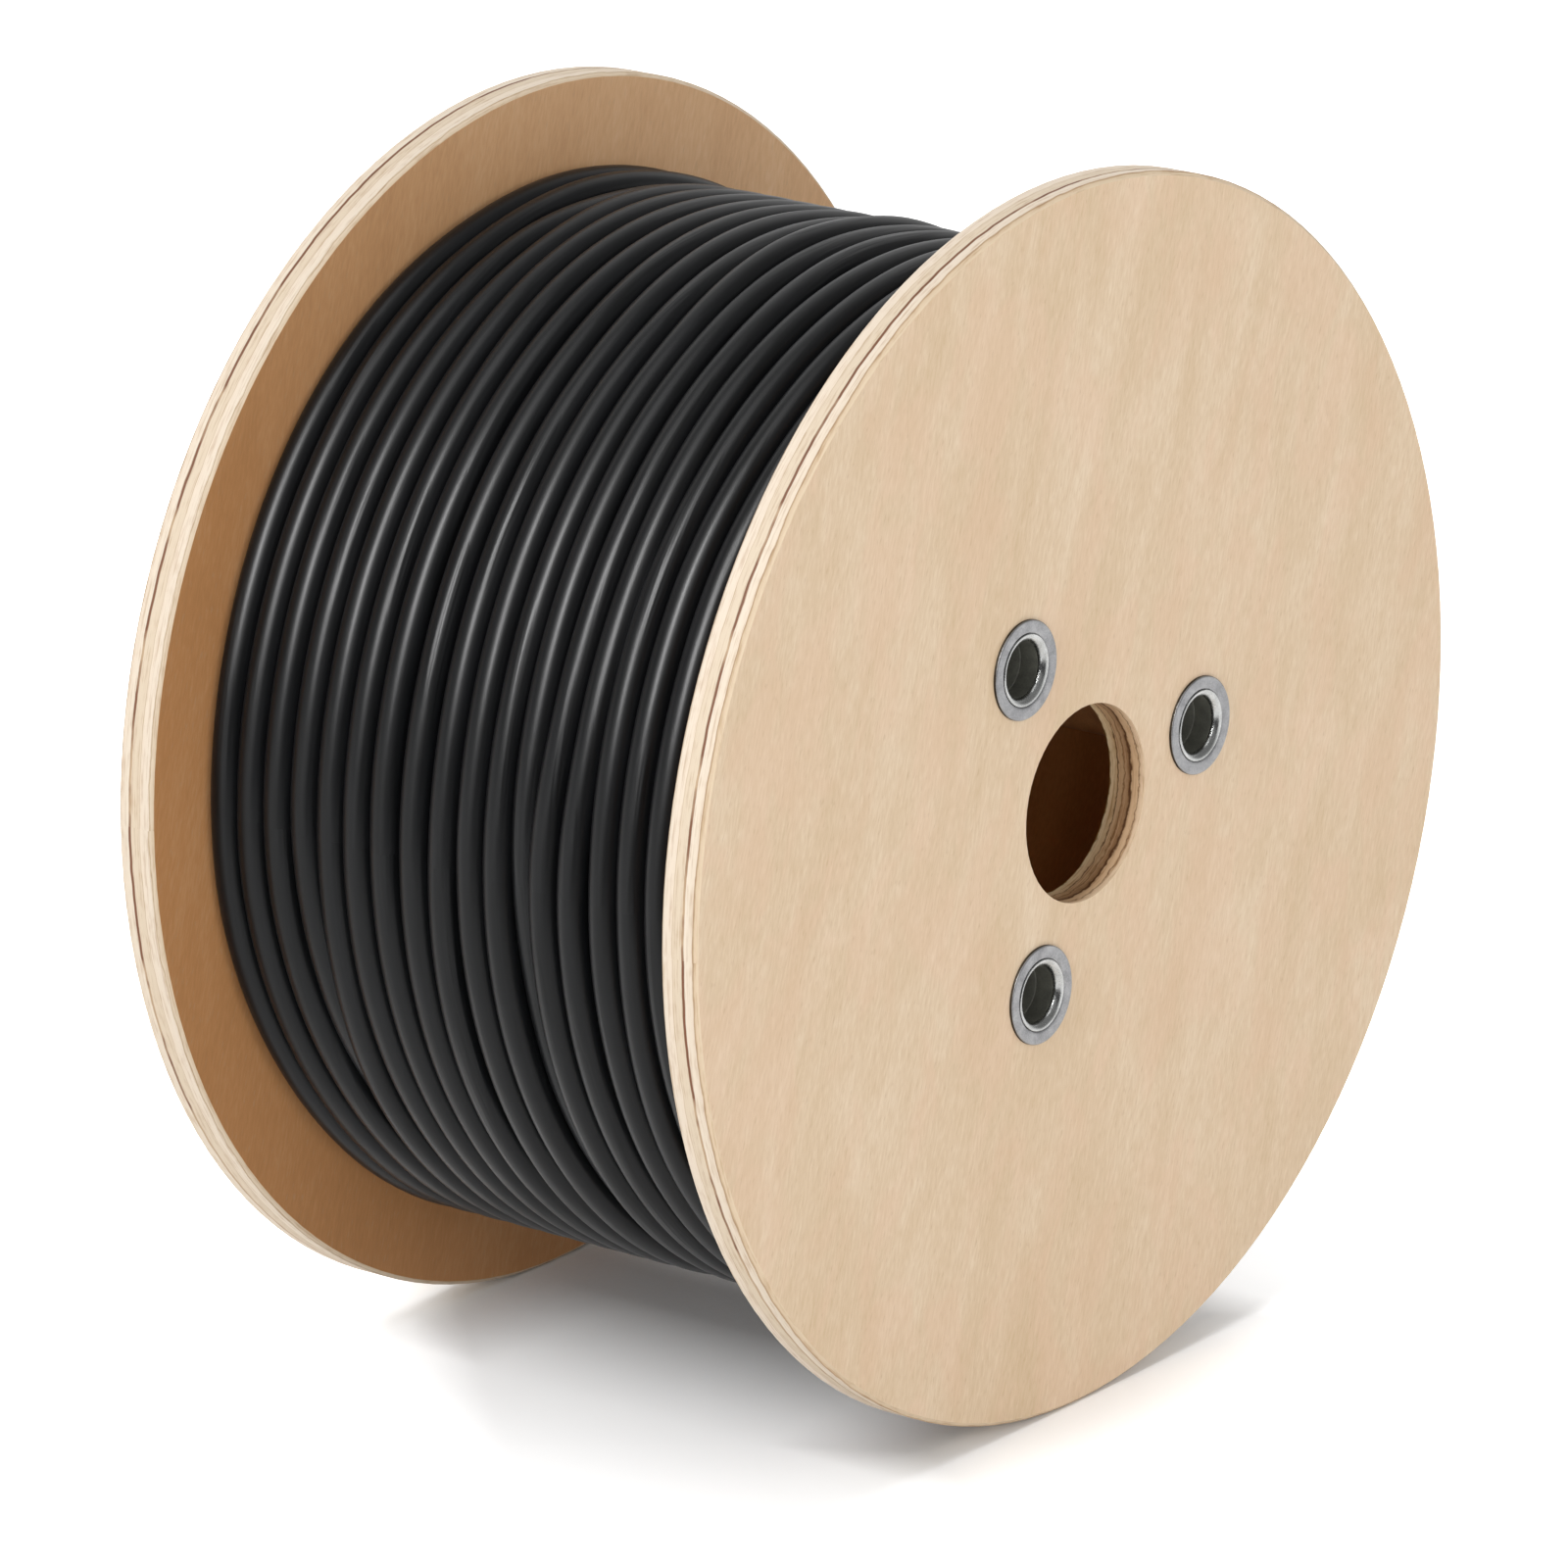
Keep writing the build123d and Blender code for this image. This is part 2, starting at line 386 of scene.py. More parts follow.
# %% Colours of the veneer: the pale outer one, the inner one with painted shade, and that one with painted light
VENEER_OUTER = [(0.34, "#D3B895"), (0.50, "#DCC3A4"), (0.66, "#E6D1B6")]
INNER_VENEER_PAINTED_SHADE = [(0.34, "#B98452"), (0.50, "#C28B58"), (0.66, "#C99666")]
INNER_VENEER_PAINTED_LIGHT = [(0.34, "#CDA176"), (0.50, "#D6AC80"), (0.66, "#DCB68E")]
# The painted light on the inner faces grows between these places in mm, counted to the right and
# up.
PAINTED_LIGHT_FROM, PAINTED_LIGHT_TO = -60, 220
BLUSH, PORE = "#E6C1A5", "#BE9C78"

# %% Sizes of its figure in mm, across the grain, through the board and along the grain
GRAIN_LEAN = 15.0
FLAMES, FLECKS, BLUSHES = (20, 60, 70), (4.5, 60, 20), (16, 60, 30)
# Real fibres and pores are about 0.1 mm wide. They are drawn as dashes that a render still shows.
FIBRES, PORES = (0.8, 10, 4.5), (0.6, 10, 3.2)
FLAMES_SHARE, FLECKS_SHARE, FIBRES_SHARE = 0.34, 0.20, 0.46
BLUSH_FROM, BLUSH_TO, BLUSH_SHARE = 0.45, 0.62, 0.25
PORE_FROM, PORE_TO, PORE_SHARE = 0.68, 0.82, 0.35


# %% Birch veneer on both faces
def veneer(tree, place, inside):
    """Colour and fine relief of rotary-cut birch veneer, with painted shade and painted light on
    the inner faces.
    """
    flames = stretched_noise(tree, place, FLAMES, 2.0, GRAIN_LEAN, 0.8)
    flecks = stretched_noise(tree, place, FLECKS, 3.0, GRAIN_LEAN + 6, 0.8)
    fibres = stretched_noise(tree, place, FIBRES, 3.0, GRAIN_LEAN, 0.3)
    pores = stretched_noise(tree, place, PORES, 0.0, GRAIN_LEAN + 3)
    blush = stretched_noise(tree, place, BLUSHES, 2.0, GRAIN_LEAN, 0.5)
    tone = 0.0
    for figure, share in ((flames, FLAMES_SHARE), (flecks, FLECKS_SHARE), (fibres, FIBRES_SHARE)):
        tone = add(tree, "ShaderNodeMath", {0: figure, 1: share, 2: tone}, operation="MULTIPLY_ADD")
    outer = add(tree, "ShaderNodeValToRGB", {0: tone}, stops=VENEER_OUTER)
    blush = add(tree, "ShaderNodeMapRange", {0: blush, 1: BLUSH_FROM, 2: BLUSH_TO,
                                             3: 0.0, 4: BLUSH_SHARE})
    outer = add(tree, "ShaderNodeMix", {0: blush, 6: outer, 7: linear(BLUSH)}, data_type="RGBA")
    # The inner faces: painted shade, with painted light towards the upper right.
    inner = add(tree, "ShaderNodeValToRGB", {0: tone}, stops=INNER_VENEER_PAINTED_SHADE)
    lit_inner = add(tree, "ShaderNodeValToRGB", {0: tone}, stops=INNER_VENEER_PAINTED_LIGHT)
    slant = add(tree, "ShaderNodeVectorMath", {0: place, 1: (1, 0, 1)}, operation="DOT_PRODUCT")
    slant = add(tree, "ShaderNodeMapRange", {0: slant, 1: PAINTED_LIGHT_FROM * MM, 2: PAINTED_LIGHT_TO * MM})
    inner = add(tree, "ShaderNodeMix", {0: slant, 6: inner, 7: lit_inner}, data_type="RGBA")
    colour = add(tree, "ShaderNodeMix", {0: inside, 6: outer, 7: inner}, data_type="RGBA")
    dark = add(tree, "ShaderNodeMapRange", {0: pores, 1: PORE_FROM, 2: PORE_TO,
                                            3: 0.0, 4: PORE_SHARE})
    colour = add(tree, "ShaderNodeMix", {0: dark, 6: colour, 7: linear(PORE)}, data_type="RGBA")
    relief = add(tree, "ShaderNodeMath", {0: fibres, 1: dark}, operation="SUBTRACT")
    return colour, relief


# %% Plies on the rim and in the arbor hole, as mm from the inner face and colour
PLY_LINES = [
    (0.00, "#CDB698"), (0.80, "#DAC9B2"), (0.95, "#B89D7C"), (1.15, "#E1D2BF"), (4.05, "#E1D1BD"),
    (4.20, "#C2A98A"), (4.40, "#D7C5AD"), (7.25, "#D9C8B0"), (7.40, "#BC9F7F"), (8.00, "#B69877"),
    (8.15, "#E3D5C2"), (10.70, "#DFCEB9"), (10.90, "#A88765"), (11.20, "#D3BD9F"),
    (12.00, "#DAC5A9"),
]
# In the hole the plies have colours of their own, paler and darker than on the rim to suit how
# light falls in the hole: painted light and painted shade over the plies' own bands.
BORE_LINES = [
    (0.00, "#9A7848"), (0.40, "#F0D8B0"), (1.60, "#EBD0A6"), (2.60, "#DDBC90"), (2.90, "#644224"),
    (3.20, "#D4B088"), (4.60, "#C8A47C"), (5.00, "#8A6542"), (5.40, "#BE9972"), (6.60, "#9C7754"),
    (7.00, "#583720"), (7.40, "#6B482B"), (7.75, "#D2AF88"), (9.60, "#DBBA94"), (9.90, "#86623F"),
    (10.30, "#DCBE9B"), (12.00, "#F0D6B6"),
]


def share_stops(lines):
    """A ramp's stops from places through the board."""
    thickness = (outer_face - inner_face) / MM
    return [(depth / thickness, colour) for depth, colour in lines]


print("rim shows", len(PLY_LINES), "stops and the hole", len(BORE_LINES))

# %% Places through the board, which wander a little along the rim and more in the hole
WANDER, WANDER_RUN = 0.8, (9, 60, 60)
# The hole was cut with a coarse saw, which left its lines ragged.
RAGGED, RAGGED_RUN = 1.8, (2.5, 1.6, 6)

plywood, tree, shader, place = new_material("birch_plywood")
radius, across, along = drum_places(tree, place)
# A place along the rim, through the board and out from the middle, so streaks follow the rim.
rim_place = add(tree, "ShaderNodeCombineXYZ", {0: along, 1: across, 2: radius})
depth = stretched_noise(tree, rim_place, WANDER_RUN, 3.0)
depth = add(tree, "ShaderNodeMath", {0: depth, 1: WANDER * MM, 2: -WANDER / 2 * MM},
            operation="MULTIPLY_ADD")
depth = add(tree, "ShaderNodeMath", {0: depth, 1: across}, operation="ADD")
in_hole = add(tree, "ShaderNodeMath", {0: radius, 1: flange_radius / 2}, operation="LESS_THAN")
ragged = stretched_noise(tree, rim_place, RAGGED_RUN, 3.0)
ragged = add(tree, "ShaderNodeMath", {0: ragged, 1: RAGGED * MM, 2: -RAGGED / 2 * MM},
             operation="MULTIPLY_ADD")
depth = add(tree, "ShaderNodeMath", {0: ragged, 1: in_hole, 2: depth}, operation="MULTIPLY_ADD")
share = add(tree, "ShaderNodeMapRange", {0: depth, 1: inner_face, 2: outer_face})
print("plies wander by", WANDER, "mm, in the hole by", RAGGED, "mm more")

# %% Plies, and the glue line that stands open in places, where a dark gap shows
OPEN_JOINT = [(7.10, 0.0), (7.40, 1.0), (7.95, 1.0), (8.25, 0.0)]
GAP, GAP_RUN, GAP_FROM, GAP_TO = "#744527", (18, 60, 60), 0.52, 0.66
# The joint stands open more towards the upper left.
JOINT_OPEN_TOWARD, JOINT_OPEN_MORE = (-0.45, 0.0, 0.89), 0.22

rim = add(tree, "ShaderNodeValToRGB", {0: share}, stops=share_stops(PLY_LINES))
joint = add(tree, "ShaderNodeValToRGB", {0: share}, stops=share_stops(OPEN_JOINT))
opened = stretched_noise(tree, rim_place, GAP_RUN, 3.0)
upper_left = add(tree, "ShaderNodeVectorMath", {0: place, 1: JOINT_OPEN_TOWARD}, operation="DOT_PRODUCT")
opened = add(tree, "ShaderNodeMath", {0: upper_left, 1: JOINT_OPEN_MORE / flange_radius, 2: opened},
             operation="MULTIPLY_ADD")
opened = add(tree, "ShaderNodeMapRange", {0: opened, 1: GAP_FROM, 2: GAP_TO})
opened = add(tree, "ShaderNodeMath", {0: joint, 1: opened}, operation="MULTIPLY")
rim = add(tree, "ShaderNodeMix", {0: opened, 6: rim, 7: linear(GAP)}, data_type="RGBA")
bore = add(tree, "ShaderNodeValToRGB", {0: share}, stops=share_stops(BORE_LINES))
edge = add(tree, "ShaderNodeMix", {0: in_hole, 6: rim, 7: bore}, data_type="RGBA")
print("open joint lies", OPEN_JOINT[1][0], "mm from the inner face")

# %% Torn fibres: streaks along the rim, darker where the saw met end grain
STREAKS, STREAKS_SHARE = (16, 0.45, 6), 0.6
WORN, WORN_SHARE = (5, 1.4, 6), 0.4
TORN_TINT, TORN_ON_RIM, TORN_IN_HOLE = "#C9AD8A", 0.5, 0.75

streaks = stretched_noise(tree, rim_place, STREAKS, 2.0)
worn = stretched_noise(tree, rim_place, WORN, 2.0)
torn = add(tree, "ShaderNodeMath", {0: worn, 1: WORN_SHARE, 2: 0.0}, operation="MULTIPLY_ADD")
torn = add(tree, "ShaderNodeMath", {0: streaks, 1: STREAKS_SHARE, 2: torn},
           operation="MULTIPLY_ADD")
torn_tint = add(tree, "ShaderNodeValToRGB", {0: torn}, stops=[(0.34, TORN_TINT), (0.50, "#FFFFFF")])
torn_share = add(tree, "ShaderNodeMapRange", {0: in_hole, 3: TORN_ON_RIM, 4: TORN_IN_HOLE})
edge = add(tree, "ShaderNodeMix", {0: torn_share, 6: edge, 7: torn_tint}, data_type="RGBA",
           blend_type="MULTIPLY")
print("edge has", len(tree.nodes), "nodes so far")

# %% Veneer where the surface is flat, plies where it isn't
FLAT_FROM, FLAT_TO = 0.80, 0.95

inside = add(tree, "ShaderNodeMath", {0: across, 1: (inner_face + outer_face) / 2},
             operation="LESS_THAN")
face, face_relief = veneer(tree, place, inside)
normal = add(tree, "ShaderNodeNewGeometry").outputs["True Normal"]
facing = add(tree, "ShaderNodeSeparateXYZ", {0: normal}).outputs[1]
facing = add(tree, "ShaderNodeMath", {0: facing}, operation="ABSOLUTE")
flat = add(tree, "ShaderNodeMapRange", {0: facing, 1: FLAT_FROM, 2: FLAT_TO})
colour = add(tree, "ShaderNodeMix", {0: flat, 6: edge, 7: face}, data_type="RGBA")
relief = add(tree, "ShaderNodeMix", {0: flat, 2: torn, 3: face_relief})
bump = add(tree, "ShaderNodeBump", {"Strength": 0.3, "Distance": 0.12 * MM, "Height": relief})
tree.links.new(colour.outputs[2], shader.inputs["Base Color"])
tree.links.new(bump.outputs[0], shader.inputs["Normal"])
shader.inputs["Roughness"].default_value = 0.62
shader.inputs["IOR"].default_value = 1.5
shader.inputs["Specular IOR Level"].default_value = 0.35
for name in ("flange_front", "flange_back"):
    nodes[name].data.materials.clear()
    nodes[name].data.materials.append(plywood)
print("plywood is on both discs")

# %% [markdown]
# ## Barrel
#
# A tube of brown board, wound from paper strips and glued. Only its inside shows, dark, through
# the arbor hole. Wound board has faint bands where one strip ends and the next begins, and is as
# matt as any bare card.

# %% Brown wound board
STRIPS_PER_METRE = 12.0
STRIP_SHARE, FIBRE_SHARE = 0.3, 0.7

board, tree, shader, place = new_material("wound_board")
strip = add(tree, "ShaderNodeTexWave", {"Vector": place, "Scale": STRIPS_PER_METRE,
                                        "Distortion": 1.5, "Detail": 2.0},
            bands_direction="Y").outputs["Fac"]
fibres = stretched_noise(tree, place, (2, 0.6, 2), 3.0)
shade = add(tree, "ShaderNodeMath", {0: strip, 1: STRIP_SHARE, 2: 0.0}, operation="MULTIPLY_ADD")
shade = add(tree, "ShaderNodeMath", {0: fibres, 1: FIBRE_SHARE, 2: shade}, operation="MULTIPLY_ADD")
tone = add(tree, "ShaderNodeValToRGB", {0: shade}, stops=[(0.3, "#B9783A"), (0.7, "#CC8B4A")])
tree.links.new(tone.outputs[0], shader.inputs["Base Color"])
shader.inputs["Roughness"].default_value = 0.85
nodes["barrel"].data.materials.clear()
nodes["barrel"].data.materials.append(board)
print("board is on the barrel")

# %% [markdown]
# ## Steel tie tubes and washers
#
# Each tie tube is thin steel tube. Its ends are opened out with a punch, belled over a dished
# washer and zinc plated, which leaves a bright, rounded lip inside a duller flat ring. Both are
# turned shapes, so a half-section is drawn once and turned round the tube's own centre line, with
# fine rounding where the solid has corners.

# %% One piece of the drum from its points and faces
def new_piece(name, points, faces, material, smooth_angle):
    """A mesh object, smooth except at edges sharper than the angle in degrees."""
    mesh = bpy.data.meshes.new(name)
    mesh.from_pydata(points, [], faces)
    mesh.update()
    mesh.shade_smooth()
    mesh.set_sharp_from_angle(angle=math.radians(smooth_angle))
    mesh.materials.append(material)
    piece = bpy.data.objects.new(name, mesh)
    scene.collection.objects.link(piece)
    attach(piece, "root")
    return piece


# %% Turn a half-section round a line along Y
def turned_piece(name, outline, centre, steps, material, smooth_angle=35):
    """A closed half-section of (radius, place along Y) in mm, turned about the centre (x, z)."""
    count = len(outline)
    points, faces = [], []
    for step in range(steps):
        turn = 2 * math.pi * step / steps
        for radius, y in outline:
            points.append((centre[0] + radius * MM * math.cos(turn), y * MM,
                           centre[1] + radius * MM * math.sin(turn)))
    for step in range(steps):
        here, after = step * count, (step + 1) % steps * count
        for i in range(count):
            j = (i + 1) % count
            faces.append((here + i, here + j, after + j, after + i))
    return new_piece(name, points, faces, material, smooth_angle)


def arc(centre_r, centre_y, size, start, end, steps):
    """Points of an arc in a half-section, angles in degrees from outward towards +Y."""
    turns = [math.radians(start + (end - start) * i / steps) for i in range(steps + 1)]
    return [(centre_r + size * math.cos(t), centre_y + size * math.sin(t)) for t in turns]


# %% Steel and its skins
# Plated zinc sets in clouds a few mm wide. Its grains are far finer than 0.45 mm, which is the
# smallest that shows.
CLOUDS, CLOUDS_SHARE = (4, 4, 4), 0.6
SPECKS, SPECKS_SHARE = (0.45, 0.45, 0.45), 0.4


def make_steel(name, light, dark, gloss, metallic=1.0):
    """Steel with a cloudy tone and fine specks, where the plating grew or rust set in."""
    material, tree, shader, place = new_material(name)
    clouds = stretched_noise(tree, place, CLOUDS, 3.0)
    specks = stretched_noise(tree, place, SPECKS, 2.0)
    mottle = add(tree, "ShaderNodeMath", {0: clouds, 1: CLOUDS_SHARE, 2: 0.0},
                 operation="MULTIPLY_ADD")
    mottle = add(tree, "ShaderNodeMath", {0: specks, 1: SPECKS_SHARE, 2: mottle},
                 operation="MULTIPLY_ADD")
    tone = add(tree, "ShaderNodeValToRGB", {0: mottle}, stops=[(0.35, dark), (0.65, light)])
    rough = add(tree, "ShaderNodeMapRange", {0: mottle, 3: gloss + 0.08, 4: gloss - 0.06})
    bump = add(tree, "ShaderNodeBump", {"Strength": 0.1, "Distance": 0.012 * MM, "Height": specks})
    tree.links.new(tone.outputs[0], shader.inputs["Base Color"])
    tree.links.new(rough.outputs[0], shader.inputs["Roughness"])
    tree.links.new(bump.outputs[0], shader.inputs["Normal"])
    shader.inputs["Metallic"].default_value = metallic
    return material


# The washers are dull, and the punch polished the bells.
zinc_plate = make_steel("dull_zinc_plate", "#A1A1A2", "#828284", 0.45)
bright_zinc = make_steel("bright_zinc_bell", "#B9BAB9", "#9FA09E", 0.26)
# A washer's outer edge is painted dark brown: a painted shadow where it stands on the wood.
edge_painted_shadow = make_steel("washer_edge_painted_shadow", "#4C463E", "#37322C", 0.5)
# The bore keeps the grey scale of the mill, and the hidden outside has gone brown. Scale and rust
# are no metals.
scaled_bore = make_steel("mill_scale_bore", "#6C6C63", "#54544D", 0.45, 0.0)
browned = make_steel("browned_steel", "#B98352", "#9A6A3E", 0.6, 0.0)
print("five skins for steel")

# %% Half-section of the tube
TUBE_BORE, TUBE_OUTSIDE = 7.6, 8.6
MOUTH_BORE, MOUTH_OUTSIDE, MOUTH_DEPTH = 8.0, 9.0, 8.0
BELL, LIP, LIP_ROUND = 2.2, 10.2, 0.28

face_mm = washer_face / MM
bell_start = face_mm - BELL
mouth_end = face_mm - MOUTH_DEPTH
half_tube = [(TUBE_BORE, 0.0), (TUBE_BORE, mouth_end - 0.25), (TUBE_BORE + 0.15, mouth_end),
             (MOUTH_BORE, mouth_end + 0.1)]
half_tube += arc(LIP, bell_start, BELL, 180, 96, 10)
half_tube += arc(LIP - LIP_ROUND, face_mm - LIP_ROUND, LIP_ROUND, 80, 0, 4)
half_tube += [(LIP, face_mm - 0.9), (MOUTH_OUTSIDE + 0.5, bell_start + 0.8),
              (MOUTH_OUTSIDE, bell_start), (MOUTH_OUTSIDE, mouth_end - 1.0),
              (TUBE_OUTSIDE, mouth_end - 1.4), (TUBE_OUTSIDE, 0.0)]
tube_outline = half_tube + [(r, -y) for r, y in reversed(half_tube[1:-1])]
print("tube outline has", len(tube_outline), "points")

# %% Half-section of the washer
WASHER_RADIUS, WASHER_ROUND = 14.0, 0.42
DISH, SEAT = 1.1, 1.1

wood = outer_face / MM
washer_outline = [(LIP - SEAT, bell_start), (LIP + DISH, bell_start), (LIP + DISH, wood),
                  (WASHER_RADIUS, wood)]
washer_outline += arc(WASHER_RADIUS - WASHER_ROUND, face_mm - WASHER_ROUND, WASHER_ROUND, 0, 90, 5)
# The washer's inner edge was drawn down with the bell, in a soft round.
washer_outline += [(LIP + 1.5, face_mm), (LIP + 0.9, face_mm - 0.04), (LIP + 0.45, face_mm - 0.13),
                   (LIP + 0.15, face_mm - 0.3)]
washer_outline += [(LIP + 0.1, bell_start + SEAT), (LIP, bell_start + SEAT)]
print("washer outline has", len(washer_outline), "points")

# %% Three tubes and their six washers
ROUND_STEPS = 72

for number, mount in enumerate(tube_mounts, start=1):
    centre = (mount["pos_m"][0], mount["pos_m"][2])
    tube = turned_piece(f"belled_tube_{number}", tube_outline, centre, ROUND_STEPS, bright_zinc)
    tube.data.materials.append(scaled_bore)
    tube.data.materials.append(browned)
    for polygon in tube.data.polygons:
        x, y, z = polygon.center
        from_axis = math.hypot(x - centre[0], z - centre[1])
        if from_axis < (MOUTH_BORE + 0.1) * MM and abs(y) < bell_start * MM:
            polygon.material_index = 1
        elif abs(y) < mouth_end * MM:
            polygon.material_index = 2
    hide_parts(f"tie_tube_{number}")
    for side, sign in (("front", -1), ("back", 1)):
        outline = washer_outline if sign > 0 else [(r, -y) for r, y in reversed(washer_outline)]
        washer = turned_piece(f"dished_washer_{side}_{number}", outline, centre, ROUND_STEPS,
                              zinc_plate)
        washer.data.materials.append(edge_painted_shadow)
        # The outer edge gets the painted shadow.
        for polygon in washer.data.polygons:
            x, y, z = polygon.center
            if math.hypot(x - centre[0], z - centre[1]) > (WASHER_RADIUS - 0.06) * MM:
                polygon.material_index = 1
        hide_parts(f"washer_{side}_{number}")
print("tubes at", [[round(v / MM, 1) for v in m["pos_m"]] for m in tube_mounts])

# %% [markdown]
# ## Cable
#
# A satin black sheath over copper, about nine millimetres thick. It was wound on by machine, turn
# beside turn, and where a turn slipped it lies askew or sinks between its neighbours. The turns
# run parallel round most of the drum and step over by one cable at the bottom, where the winder's
# guide moved them on. Here one long tube follows that line, so the turns are truly one cable.

# %% Sizes of the winding in mm, angles in degrees counted from +X up to +Z
CABLE = 9.4
FIRST_TURN = CABLE / 2
TURNS = 18
STEP_START, STEP_END = 262.0, 300.0

# Outside radius of the winding at some angles. A full drum is never quite round: the layers below
# settle where the turns step over.
OUT_OF_ROUND = {-60: 150.0, 0: 148.5, 55: 146.6, 75: 146.9, 95: 148.9, 105: 150.0, 115: 151.5,
                125: 152.5, 140: 153.2, 180: 153.1, 200: 152.7, 220: 152.1, 270: 150.6, 300: 150.0}
print(TURNS, "turns, from", min(OUT_OF_ROUND.values()), "to", max(OUT_OF_ROUND.values()), "mm")

# %% Turns that slipped
# For each turn: the angles between which it sets in and between which it fades out, mm towards the
# front flange, and mm sunk towards the barrel.
SLIPPED = {
    1: [(185, 230, 240, 275, 5.0, 0), (50, 66, 80, 112, 0, -1.8)],
    2: [(182, 230, 240, 275, 4.8, 0), (50, 66, 80, 112, 0, -1.8)],
    3: [(178, 228, 240, 275, 6.3, 0), (60, 78, 86, 108, 1.4, 1.6), (50, 66, 80, 112, 0, -1.0)],
    4: [(175, 200, 240, 275, 3.0, 0), (190, 226, 240, 275, 0, 5.5), (60, 78, 86, 112, -2.6, -0.3)],
    5: [(190, 215, 240, 275, -1.2, 0), (60, 78, 92, 128, -2.0, -0.4)],
    6: [(60, 78, 95, 132, -2.0, -0.4)],
    7: [(60, 78, 92, 128, -1.4, -0.3)],
    8: [(60, 78, 88, 122, -1.8, -0.3), (100, 128, 155, 205, 1.2, 0)],
    9: [(60, 78, 88, 122, -1.8, -0.3), (98, 126, 165, 205, 1.6, 0)],
    10: [(60, 78, 88, 118, -1.7, 0.2), (96, 124, 200, 250, 1.6, 0)],
    11: [(60, 78, 92, 122, -1.6, -1.5), (96, 124, 225, 265, 1.6, 0)],
    12: [(60, 78, 88, 122, -1.8, -0.4), (96, 126, 240, 275, 1.3, 0),
         (166, 198, 240, 275, -0.8, 3.8)],
    13: [(60, 78, 88, 120, -1.5, -0.3), (92, 122, 150, 182, 1.3, 0), (160, 182, 240, 275, -1.8, 0)],
    14: [(88, 118, 145, 180, 1.3, 0), (163, 183, 240, 275, -1.7, 0)],
    15: [(86, 114, 120, 150, 2.0, 0), (170, 190, 240, 275, -0.5, 0)],
    16: [(84, 112, 120, 148, 2.6, 0), (180, 215, 240, 275, -1.6, 0)],
    17: [(84, 110, 120, 148, 2.6, 0)],
    18: [(84, 110, 120, 148, 1.7, 0)],
}
print("slips:", sum(len(slips) for slips in SLIPPED.values()))


# %% Smooth changes along a turn
def ease(value, start, end):
    """Smooth step from 0 at start to 1 at end."""
    share = np.clip((value - start) / (end - start), 0, 1)
    return share * share * (3 - 2 * share)


def smooth_between(places, value):
    """Curve near places given as {angle: number}, with its corners averaged away."""
    angles = sorted(places)
    numbers = [places[a] for a in angles]
    shifts = range(-12, 13, 3)
    return np.mean([np.interp(value + shift, angles, numbers) for shift in shifts], axis=0)


def top_course(turn, angle):
    """Distance from the back flange and radius of a turn's centre line, in mm."""
    across = np.full_like(angle, FIRST_TURN + CABLE * (turn - 1))
    radius = smooth_between(OUT_OF_ROUND, angle) - CABLE / 2
    for rise, full, fade, gone, sideways, sunk in SLIPPED[turn]:
        share = ease(angle, rise, full) - ease(angle, fade, gone)
        across += share * sideways
        radius -= share * sunk
    return across, radius


# %% The line that the top layer follows
STEPS_PER_TURN = 240
# The guide shakes a little: mm, and how often in a turn. It stays calm near the step.
SHAKES, CALM = [(0.12, 3), (0.1, 5)], 30
# The last turn ends tucked down under its neighbour: share of a cable down, mm to the front.
TUCK_DOWN, TUCK_ASIDE = 0.9, 2.0

angles = np.linspace(STEP_END - 360, STEP_END, STEPS_PER_TURN + 1)
stepping = ease(angles, STEP_START, STEP_END)
shaking = ease(angles, angles[0], angles[0] + CALM) - ease(angles, angles[-1] - CALM, angles[-1])
rng = np.random.default_rng(7)
line = []
for turn in range(1, TURNS + 1):
    across, radius = top_course(turn, angles)
    last = STEPS_PER_TURN
    if turn < TURNS:
        across += stepping * CABLE
    else:
        across += stepping * TUCK_ASIDE
        radius -= stepping * CABLE * TUCK_DOWN
        last += 1
    phases = rng.uniform(0, 2 * math.pi, len(SHAKES))
    shake = sum(size * np.sin(np.radians(angles) * times + phase)
                for (size, times), phase in zip(SHAKES, phases))
    places = list(zip(angles, across + shake * shaking, radius))[:last]
    line += [(a, inner_face / MM - d, r) for a, d, r in places]
print("top layer:", len(line), "places along the cable")


# %% A tube along a line round the drum
def cable_along(name, line, size, sides, material):
    """Round cable along (angle in degrees, y in mm, radius in mm), closed at both ends."""
    centres = np.array([(r * math.cos(math.radians(a)), y, r * math.sin(math.radians(a)))
                        for a, y, r in line]) * MM
    runs = np.gradient(centres, axis=0)
    runs /= np.linalg.norm(runs, axis=1, keepdims=True)
    outward = centres * (1, 0, 1)
    outward /= np.linalg.norm(outward, axis=1, keepdims=True)
    sideways = np.cross(runs, outward)
    sideways /= np.linalg.norm(sideways, axis=1, keepdims=True)
    outward = np.cross(sideways, runs)
    turns = np.linspace(0, 2 * math.pi, sides, endpoint=False)[None, :, None]
    rings = np.cos(turns) * outward[:, None, :] + np.sin(turns) * sideways[:, None, :]
    rings = centres[:, None, :] + size / 2 * MM * rings
    faces = []
    for i in range(len(line) - 1):
        for j in range(sides):
            k = (j + 1) % sides
            faces.append((i * sides + j, i * sides + k, (i + 1) * sides + k, (i + 1) * sides + j))
    faces.append(tuple(reversed(range(sides))))
    faces.append(tuple((len(line) - 1) * sides + j for j in range(sides)))
    return new_piece(name, rings.reshape(-1, 3).tolist(), faces, material, smooth_angle=50)


